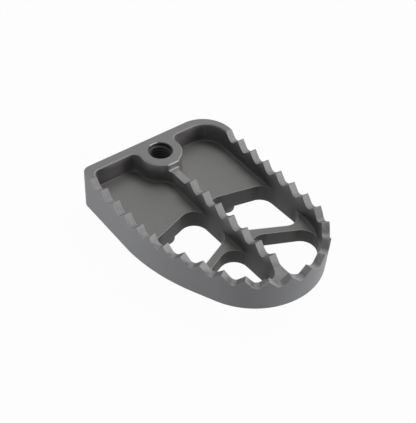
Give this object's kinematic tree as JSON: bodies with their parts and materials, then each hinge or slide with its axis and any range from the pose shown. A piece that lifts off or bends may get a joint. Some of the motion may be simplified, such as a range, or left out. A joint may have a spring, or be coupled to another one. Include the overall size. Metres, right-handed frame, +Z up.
{
  "type": "foot peg",
  "caption": "Machined foot peg: toothed rim and centre rib over a webbed plate with windows, with a threaded bore in a round boss at its back edge.",
  "frame": {"origin": "on the axis of the threaded bore, level with the flat underside", "axes": "+X from the bore to the nose, +Y across to the straight side, +Z up through the teeth"},
  "size_m": [0.075, 0.0536, 0.0174],
  "materials": {
    "anodised": "matt dark grey hard anodised"
  },
  "bodies": {
    "root": {"foot_peg": "anodised"}
  },
  "joints": []
}
